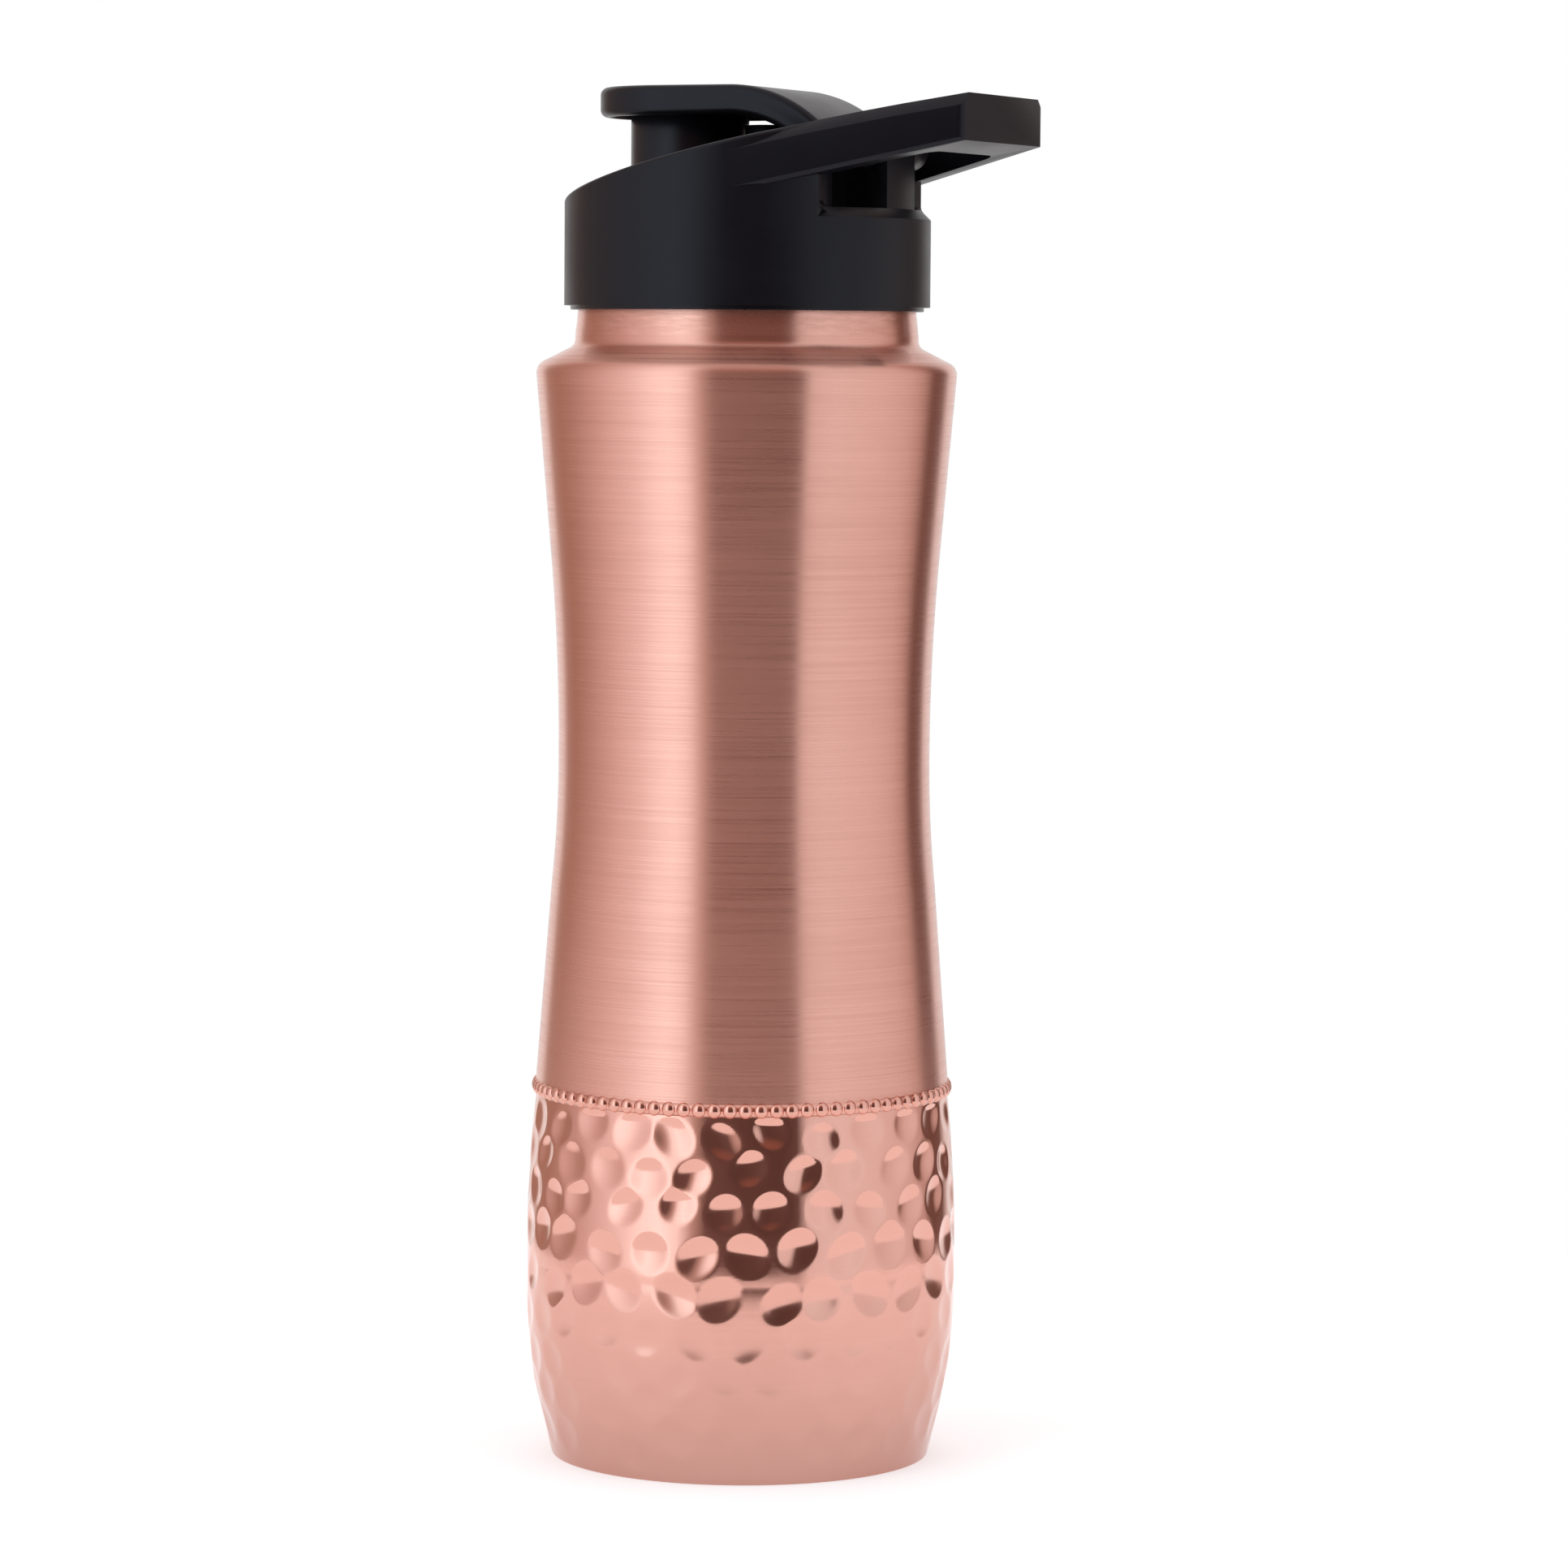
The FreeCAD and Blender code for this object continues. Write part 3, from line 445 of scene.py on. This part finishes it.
class BOTTLE_OT_upper_shell(bpy.types.Operator):
    """Turn the waisted shell from the beads up to the neck"""

    bl_idname = "bottle.upper_shell"
    bl_label = "Upper Shell"

    def execute(self, context):
        shell = context.scene.bottle_shell
        lowest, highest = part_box("upper_shell")
        bead_low, bead_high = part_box("bead_band")
        seam = (bead_low.z + bead_high.z) / 2

        def side(inset):
            """The shell's side from kink to neck, this far inside its outer face."""
            roll = shell.shoulder_roll - inset
            centre = shell.shoulder_radius - shell.shoulder_roll
            slope = shell.shoulder_slope
            half = math.pi / 4 - slope / 2
            neck, fillet = shell.neck_radius - inset, shell.neck_round + inset
            reach = fillet * math.tan(half)
            roll_end = (centre + roll * math.sin(slope), shell.shoulder_height + roll * math.cos(slope))
            corner = roll_end[1] + math.tan(slope) * (roll_end[0] - neck)
            bend = (shell.shoulder_height - shell.waist_height) * 0.53
            lean = (shell.shoulder_radius - shell.waist_radius) / (
                shell.shoulder_height - shell.waist_height - bend / 2)
            kink = (shell.kink_radius - inset, shell.kink_height)
            waist = (shell.waist_radius - inset, shell.waist_height)
            flare = (waist[0] + bend * lean / 2, shell.waist_height + bend)
            shoulder = (shell.shoulder_radius - inset, shell.shoulder_height)
            roll_middle = (centre + roll * math.cos(half), shell.shoulder_height + roll * math.sin(half))
            fillet_start = (neck + reach * math.cos(slope), corner - reach * math.sin(slope))
            fillet_end = (neck, corner + reach)
            return (
                arc(kink, (waist[0] + 0.22 * (kink[0] - waist[0]), (kink[1] + waist[1]) / 2), waist, 24)
                + arc(waist, (waist[0] + bend * lean / 8, waist[1] + bend / 2), flare, 30)
                + line(flare, shoulder, 24)
                + arc(shoulder, roll_middle, roll_end, 12)
                + line(roll_end, fillet_start, 6)
                + arc(fillet_start, (neck + fillet * (1 - math.cos(half)),
                                     corner + reach - fillet * math.sin(half)), fillet_end, 8)
                + [fillet_end, (neck, highest.z)])

        outer = side(0.0)
        seam_out, seam_in = shell.seam_radius, shell.seam_radius - shell.sheet
        lip = (seam_out, bead_high.z)
        section = ([(seam_out, seam)] + line(lip, outer[0], 28) + outer + side(shell.sheet)[::-1]
                   + [(seam_in, seam + shell.joggle), (seam_in - shell.sheet, seam),
                      (seam_in - shell.sheet, lowest.z), (seam_in, lowest.z), (seam_in, seam)])
        piece = lathe("upper_shell_copper", section, shell.facets, 40.0)
        map_around(piece)
        material = brushed_copper("brushed_copper", (16.0, 16.0, 3600.0), depth=0.0010 * MM)
        finish_piece(piece, "bottle", "brushed_copper", material, "upper_shell")
        return {"FINISHED"}


class BOTTLE_OT_hammered_cup(bpy.types.Operator):
    """Raise the cup and strike its rows of hammer marks"""

    bl_idname = "bottle.hammered_cup"
    bl_label = "Hammered Cup"

    def execute(self, context):
        cup, shell = context.scene.bottle_hammering, context.scene.bottle_shell
        lowest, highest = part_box("lower_cup")
        beads_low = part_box("bead_band")[0].z
        seam = shell.seam_radius

        def side(inset, steps):
            """The cup's side from foot to seam, in about this many steps."""
            foot = (cup.foot_radius - inset, lowest.z)
            flare = (cup.flare_radius - inset, cup.flare_height)
            belly = (cup.belly_radius - inset, cup.belly_height)
            lip = (seam - inset, beads_low)
            low = (flare[0] + 0.6 * (belly[0] - flare[0]), flare[1] + 0.3 * (belly[1] - flare[1]))
            high = (belly[0] - 0.26 * (belly[0] - lip[0]), (belly[1] + highest.z) / 2)
            parts = [steps * part // 100 for part in (20, 34, 44, 2)]
            return (line(foot, flare, parts[0]) + arc(flare, low, belly, parts[1])
                    + arc(belly, high, lip, parts[2]) + line(lip, (seam - inset, highest.z), max(parts[3], 1))
                    + [(seam - inset, highest.z)])

        outer = np.array(side(0.0, cup.steps))
        inner = np.array(side(shell.sheet, 16))[::-1]
        turn = np.arange(cup.facets) * 2 * math.pi / cup.facets
        along = np.gradient(outer, axis=0)
        along /= np.linalg.norm(along, axis=1)[:, None]
        outward = np.stack([along[:, 1], -along[:, 0]], -1)
        dent = self.dents(cup, outer, turn)
        fade = np.clip((outer[:, 1] - 0.6 * MM) / (2.4 * MM), 0, 1) * np.clip(
            (beads_low - outer[:, 1]) / (0.9 * MM), 0, 1)
        dent *= (fade * fade * (3 - 2 * fade))[:, None]
        radius = np.concatenate([outer[:, :1] + outward[:, :1] * dent,
                                 np.repeat(inner[:, :1], cup.facets, 1)])
        height = np.concatenate([outer[:, 1:] + outward[:, 1:] * dent,
                                 np.repeat(inner[:, 1:], cup.facets, 1)])
        rings = np.stack([radius * np.cos(turn), radius * np.sin(turn), height], -1)
        piece = woven("lower_cup_hammered", rings, 60.0)
        map_around(piece)
        material = hammered_copper("hammered_copper", 40 * MM, 4 * MM)
        finish_piece(piece, "bottle", "hammered_copper", material, "lower_cup")
        return {"FINISHED"}

    def dents(self, cup, outer, turn):
        """How far each point of the cup's grid is knocked in, as a negative number."""
        rng = np.random.default_rng(cup.seed)
        dent = np.zeros((len(outer), len(turn)))
        for row, height in enumerate(MARK_ROWS):
            ease = np.clip((row - 2) / 3, 0, 1)  # deep down to the third row, shallow from the sixth
            depth = cup.depth + (cup.foot_depth - cup.depth) * ease
            radius = np.interp(height, outer[:, 1], outer[:, 0])
            for mark in range(cup.around):
                angle = 2 * math.pi * (mark + 0.5 * (row % 2)) / cup.around
                angle += rng.normal(0, cup.wander) / radius
                z = height + rng.normal(0, cup.wander)
                size = cup.mark_radius * rng.uniform(0.90, 1.08)
                across = (turn[None, :] - angle + math.pi) % (2 * math.pi) - math.pi
                lean = rng.uniform(-0.25, 0.25)
                over = outer[:, 1][:, None] - z
                ratio = ((across * radius + lean * over) ** 2 + over ** 2) / size ** 2
                mark_depth = depth * rng.uniform(0.85, 1.05)
                dent = np.minimum(dent, -mark_depth * np.clip(1 - ratio, 0, 1) ** 1.3)
        return dent


class BOTTLE_OT_bead_band(bpy.types.Operator):
    """Lay the strip and its ring of beads over the seam"""

    bl_idname = "bottle.bead_band"
    bl_label = "Bead Band"

    def execute(self, context):
        beads, shell = context.scene.bottle_beads, context.scene.bottle_shell
        low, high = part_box("bead_band")
        tree, sockets = self.grow_tree()
        blank = bpy.data.objects.new("bead_band_blank", bpy.data.meshes.new("bead_band_blank"))
        context.collection.objects.link(blank)
        modifier = blank.modifiers.new("beads", "NODES")
        modifier.node_group = tree
        material = bead_copper("bead_copper")
        sizes = {
            "Seam Radius": shell.seam_radius,
            "Seam Height": (low.z + high.z) / 2,
            "Bead Width": beads.width,
            "Bead Ring Radius": high.x - beads.depth / 2,
            "Bead Depth": beads.depth,
            "Bead Count": round(2 * math.pi * shell.seam_radius / beads.pitch),
            "Strip Thickness": beads.strip,
            "Strip Height": beads.strip_height,
            "Copper": material,
        }
        for name, setting in sizes.items():
            modifier[sockets[name]] = setting
        whole = bpy.data.meshes.new_from_object(blank.evaluated_get(context.evaluated_depsgraph_get()))
        blank.modifiers.clear()
        if not whole.polygons:
            raise RuntimeError("the bead band came out empty")
        bpy.data.objects.remove(blank)
        piece = bpy.data.objects.new("bead_band_beads", whole)
        context.collection.objects.link(piece)
        finish_piece(piece, "bottle", "bead_copper", material, "bead_band")
        return {"FINISHED"}

    def grow_tree(self):
        """The node tree of strip and beads, and its inputs' identifiers by name."""
        tree = bpy.data.node_groups.new("Bead Band", "GeometryNodeTree")
        sockets = {}
        for name, kind in (("Seam Radius", "Float"), ("Seam Height", "Float"), ("Bead Ring Radius", "Float"),
                           ("Bead Width", "Float"), ("Bead Depth", "Float"), ("Bead Count", "Int"),
                           ("Strip Thickness", "Float"), ("Strip Height", "Float"), ("Copper", "Material")):
            made = tree.interface.new_socket(name, in_out="INPUT", socket_type="NodeSocket" + kind)
            sockets[name] = made.identifier
        tree.interface.new_socket("Geometry", in_out="OUTPUT", socket_type="NodeSocketGeometry")
        given = add(tree, "NodeGroupInput").outputs

        def maths(operation, first, second):
            return add(tree, "ShaderNodeMath", {0: first, 1: second}, operation=operation).outputs[0]

        strip_middle = maths("ADD", given["Seam Radius"], maths("MULTIPLY", given["Strip Thickness"], 0.5))
        seam = add(tree, "ShaderNodeCombineXYZ", {"Z": given["Seam Height"]}).outputs[0]
        ring = add(tree, "GeometryNodeCurvePrimitiveCircle", {"Resolution": 340, "Radius": strip_middle})
        edge = add(tree, "GeometryNodeCurvePrimitiveQuadrilateral",
                   {"Width": given["Strip Thickness"], "Height": given["Strip Height"]})
        strip = add(tree, "GeometryNodeCurveToMesh", {"Curve": ring.outputs["Curve"],
                                                      "Profile Curve": edge.outputs["Curve"]})
        path = add(tree, "GeometryNodeCurvePrimitiveCircle", {"Resolution": given["Bead Count"],
                                                              "Radius": given["Bead Ring Radius"]})
        ball = add(tree, "GeometryNodeMeshUVSphere", {"Segments": 14, "Rings": 9, "Radius": 0.5})
        smooth = add(tree, "GeometryNodeSetShadeSmooth", {"Geometry": ball.outputs["Mesh"]})
        tangent = add(tree, "GeometryNodeInputTangent").outputs[0]
        turned = add(tree, "FunctionNodeAlignRotationToVector", {"Vector": tangent}, axis="Y",
                     pivot_axis="Z")
        size = add(tree, "ShaderNodeCombineXYZ", {"X": given["Bead Depth"], "Y": given["Bead Width"],
                                                  "Z": given["Bead Width"]}).outputs[0]
        beads = add(tree, "GeometryNodeInstanceOnPoints",
                    {"Points": path.outputs["Curve"], "Instance": smooth.outputs["Geometry"],
                     "Rotation": turned.outputs[0], "Scale": size})
        together = add(tree, "GeometryNodeJoinGeometry")
        tree.links.new(beads.outputs["Instances"], together.inputs["Geometry"])
        tree.links.new(strip.outputs["Mesh"], together.inputs["Geometry"])
        lifted = add(tree, "GeometryNodeTransform", {"Geometry": together.outputs["Geometry"],
                                                     "Translation": seam})
        real = add(tree, "GeometryNodeRealizeInstances", {"Geometry": lifted.outputs["Geometry"]})
        dressed = add(tree, "GeometryNodeSetMaterial", {"Geometry": real.outputs["Geometry"],
                                                        "Material": given["Copper"]})
        out = add(tree, "NodeGroupOutput")
        tree.links.new(dressed.outputs["Geometry"], out.inputs["Geometry"])
        return tree, sockets


class BOTTLE_OT_base_and_neck(bpy.types.Operator):
    """Finish the base disc and the threaded neck"""

    bl_idname = "bottle.base_and_neck"
    bl_label = "Base and Neck"

    def execute(self, context):
        shell = context.scene.bottle_shell
        low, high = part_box("base_disc")
        edge = 0.2 * MM
        section = ([(0.0, low.z)] + line((2 * MM, low.z), (high.x - edge, low.z), 12)
                   + arc((high.x - edge, low.z), (high.x - edge * 0.293, low.z + edge * 0.293),
                         (high.x, low.z + edge), 4)
                   + [(high.x, low.z + edge), (high.x, high.z), (0.0, high.z)])
        piece = lathe("base_disc_copper", section, shell.facets, 40.0)
        finish_piece(piece, "bottle", "base_copper",
                     brushed_copper("base_copper", (700.0, 25.0, 700.0), along_map=False), "base_disc")
        dress_node("threaded_neck", brushed_copper("neck_copper", (160.0, 160.0, 1500.0), (0.9, 0.5, 0.0),
                                                   0.012 * MM, along_map=False))
        return {"FINISHED"}


class BOTTLE_OT_seal(bpy.types.Operator):
    """Finish the silicone ring under the cap"""

    bl_idname = "bottle.seal"
    bl_label = "Mouth Seal"

    def execute(self, context):
        dress_node("mouth_gasket", silicone("mouth_silicone"))
        return {"FINISHED"}


class BOTTLE_OT_screw_cap(bpy.types.Operator):
    """Mould the cap with its carry loop, its liner and its hinge pin"""

    bl_idname = "bottle.screw_cap"
    bl_label = "Screw Cap"

    def execute(self, context):
        finish = context.scene.bottle_finish
        plastic = moulded_plastic("black_plastic", finish.plastic, finish.plastic_satin)
        shell = moulding("cap_shell", "cap_shell_moulding", finish.edge)
        finish_piece(shell, "cap", "black_plastic", plastic, "cap_shell")
        liner = moulding("cap_liner", "cap_liner_moulding", finish.edge * 0.8)
        liner_plastic = moulded_plastic("liner_plastic", tuple(t * 1.3 for t in finish.plastic),
                                        finish.plastic_satin - 0.08)
        finish_piece(liner, "cap", "liner_plastic", liner_plastic, "cap_liner")
        dress_node("hinge_pin", drawn_steel("pin_steel"))
        return {"FINISHED"}


class BOTTLE_OT_flip_lid(bpy.types.Operator):
    """Mould the flip lid and its spout plug"""

    bl_idname = "bottle.flip_lid"
    bl_label = "Flip Lid"

    def execute(self, context):
        finish = context.scene.bottle_finish
        lid = moulding("flip_lid", "flip_lid_moulding", finish.edge)
        finish_piece(lid, "lid", "lid_plastic", moulded_plastic(
            "lid_plastic", tuple(t * 1.1 for t in finish.plastic), finish.plastic_satin - 0.03), "flip_lid")
        dress_node("spout_plug", silicone("plug_silicone"))
        return {"FINISHED"}


class BOTTLE_OT_studio(bpy.types.Operator):
    """Set the floor, the studio light and the camera"""

    bl_idname = "bottle.studio"
    bl_label = "Studio"

    def execute(self, context):
        scene, studio = context.scene, context.scene.bottle_studio
        self.lay_floor(studio)
        self.light(scene, studio)
        forward = Vector((-math.sin(studio.turn) * math.cos(studio.pitch),
                          math.cos(studio.turn) * math.cos(studio.pitch), -math.sin(studio.pitch)))
        right = Vector((math.cos(studio.turn), math.sin(studio.turn), 0.0))
        camera = bpy.data.objects.new("camera", bpy.data.cameras.new("camera"))
        context.collection.objects.link(camera)
        camera.data.lens = studio.lens
        camera.data.sensor_width = 36.0
        spot = Vector((math.sin(studio.turn), -math.cos(studio.turn), 0.0)) * studio.distance
        spot += right * studio.aside + Vector((0.0, 0.0, studio.height))
        facing = Matrix((right, right.cross(forward), -forward)).transposed().to_4x4()
        camera.matrix_world = Matrix.Translation(spot) @ facing @ Matrix.Rotation(studio.roll, 4, "Z")
        scene.camera = camera
        scene.view_settings.view_transform = "Standard"
        return {"FINISHED"}

    def lay_floor(self, studio):
        """A pale floor that fades out, so that no horizon shows."""
        ground = bpy.data.meshes.new("floor")
        faded = studio.floor_radius * 1.15
        reach = studio.floor_radius * 1.2
        ground.from_pydata([(-reach, -reach, 0), (reach, -reach, 0), (reach, reach, 0), (-reach, reach, 0)],
                           [], [(0, 1, 2, 3)])
        floor = bpy.data.objects.new("floor", ground)
        bpy.context.collection.objects.link(floor)
        material, tree, shader = new_material("floor", Roughness=0.85, Specular_IOR_Level=0.1)
        shader.inputs["Emission Color"].default_value = (1.0, 1.0, 1.0, 1.0)
        shader.inputs["Emission Strength"].default_value = studio.floor_glow
        mottle = streaks(tree, (9.0, 9.0, 9.0))
        tree.links.new(blended(tree, mottle, tuple(0.99 * c for c in studio.floor), tuple(studio.floor)),
                       shader.inputs["Base Color"])
        place = add(tree, "ShaderNodeTexCoord").outputs["Object"]
        away = add(tree, "ShaderNodeVectorMath", {0: place}, operation="LENGTH").outputs["Value"]
        tree.links.new(spread(tree, away, 1.0, 0.0, studio.floor_radius, faded),
                       shader.inputs["Alpha"])
        ground.materials.append(material)

    def light(self, scene, studio):
        """Two tall soft panels with a dark gap between them, white behind and above."""
        world = bpy.data.worlds.new("studio")
        scene.world = world
        world.use_nodes = True
        tree = world.node_tree
        tree.nodes.clear()
        way = add(tree, "ShaderNodeTexCoord").outputs["Generated"]
        turned = add(tree, "ShaderNodeVectorRotate", {"Vector": way, "Angle": math.pi / 2 - studio.turn},
                     rotation_type="Z_AXIS").outputs[0]
        axes = add(tree, "ShaderNodeSeparateXYZ", {0: turned}).outputs
        bearing = add(tree, "ShaderNodeMath", {0: axes["Y"], 1: axes["X"]}, operation="ARCTAN2").outputs[0]
        around = spread(tree, bearing, 0.0, 1.0, -math.pi, math.pi)
        ramp = add(tree, "ShaderNodeValToRGB", {"Fac": around})
        panels = (
            (-180, 1.00, 1.00, 1.00), (-150, 0.95, 0.92, 0.90), (-142, 0.48, 0.34, 0.28),
            (-128, 0.50, 0.34, 0.28), (-112, 0.62, 0.51, 0.47), (-95, 0.82, 0.72, 0.71),
            (-70, 1.14, 1.16, 1.20), (-55, 1.45, 1.62, 1.72), (-44, 1.55, 1.82, 1.95),
            (-34, 1.35, 1.48, 1.55), (-26, 0.66, 0.56, 0.53), (-18, 0.19, 0.13, 0.12),
            (0, 0.15, 0.095, 0.085), (22, 0.13, 0.085, 0.075), (31, 0.16, 0.11, 0.10),
            (37, 0.95, 0.98, 1.02), (52, 1.03, 1.10, 1.15), (85, 0.95, 0.95, 0.97),
            (104, 0.86, 0.82, 0.83), (117, 0.68, 0.58, 0.56), (126, 0.20, 0.12, 0.10),
            (140, 0.22, 0.14, 0.12), (150, 0.90, 0.88, 0.87),
        )
        marks = ramp.color_ramp.elements
        while len(marks) < len(panels):
            marks.new(0.5)
        for mark, (angle, *light) in zip(marks, panels):
            mark.position = (angle + 180) / 360
            mark.color = (*light, 1.0)
        glow = blended(tree, spread(tree, axes["Z"], 0.0, 1.0, 0.28, 0.80), ramp.outputs["Color"],
                       (0.56, 0.25, 0.18), "LIGHTEN")
        sides = blended(tree, spread(tree, axes["Z"], 0.0, 1.0, 0.66, 0.92), glow, (0.96, 0.90, 0.90))
        seen = add(tree, "ShaderNodeBackground", {"Color": (1.0, 1.0, 1.0, 1.0), "Strength": 1.0})
        given = add(tree, "ShaderNodeBackground", {"Color": sides, "Strength": 1.0})
        ray = add(tree, "ShaderNodeLightPath").outputs["Is Camera Ray"]
        mixed = add(tree, "ShaderNodeMixShader", {0: ray, 1: given.outputs[0], 2: seen.outputs[0]})
        add(tree, "ShaderNodeOutputWorld", {"Surface": mixed.outputs[0]})


# ---------------------------------------------------------------- panel and running

PIECES = (BOTTLE_OT_upper_shell, BOTTLE_OT_hammered_cup, BOTTLE_OT_bead_band,
          BOTTLE_OT_base_and_neck, BOTTLE_OT_seal, BOTTLE_OT_screw_cap, BOTTLE_OT_flip_lid,
          BOTTLE_OT_studio)
GROUPS = {"bottle_shell": BottleShell, "bottle_hammering": BottleHammering, "bottle_beads": BottleBeads,
          "bottle_finish": BottleFinish, "bottle_studio": BottleStudio}


class BOTTLE_PT_panel(bpy.types.Panel):
    """The bottle's pieces, one button each"""

    bl_idname = "BOTTLE_PT_panel"
    bl_label = "Copper Bottle"
    bl_space_type = "VIEW_3D"
    bl_region_type = "UI"
    bl_category = "Bottle"

    def draw(self, context):
        for piece in PIECES:
            self.layout.operator(piece.bl_idname)
        for group, kind in GROUPS.items():
            box = self.layout.box()
            box.label(text=kind.__doc__)
            for setting in kind.__annotations__:
                box.prop(getattr(context.scene, group), setting)


CLASSES = (*GROUPS.values(), *PIECES, BOTTLE_PT_panel)


def register():
    for made in CLASSES:
        bpy.utils.register_class(made)
    for group, kind in GROUPS.items():
        setattr(bpy.types.Scene, group, PointerProperty(type=kind))


def unregister():
    for group in GROUPS:
        delattr(bpy.types.Scene, group)
    for made in reversed(CLASSES):
        bpy.utils.unregister_class(made)


def main():
    register()
    for piece in PIECES:
        group, name = piece.bl_idname.split(".")
        getattr(getattr(bpy.ops, group), name)()


if __name__ == "__main__":
    main()
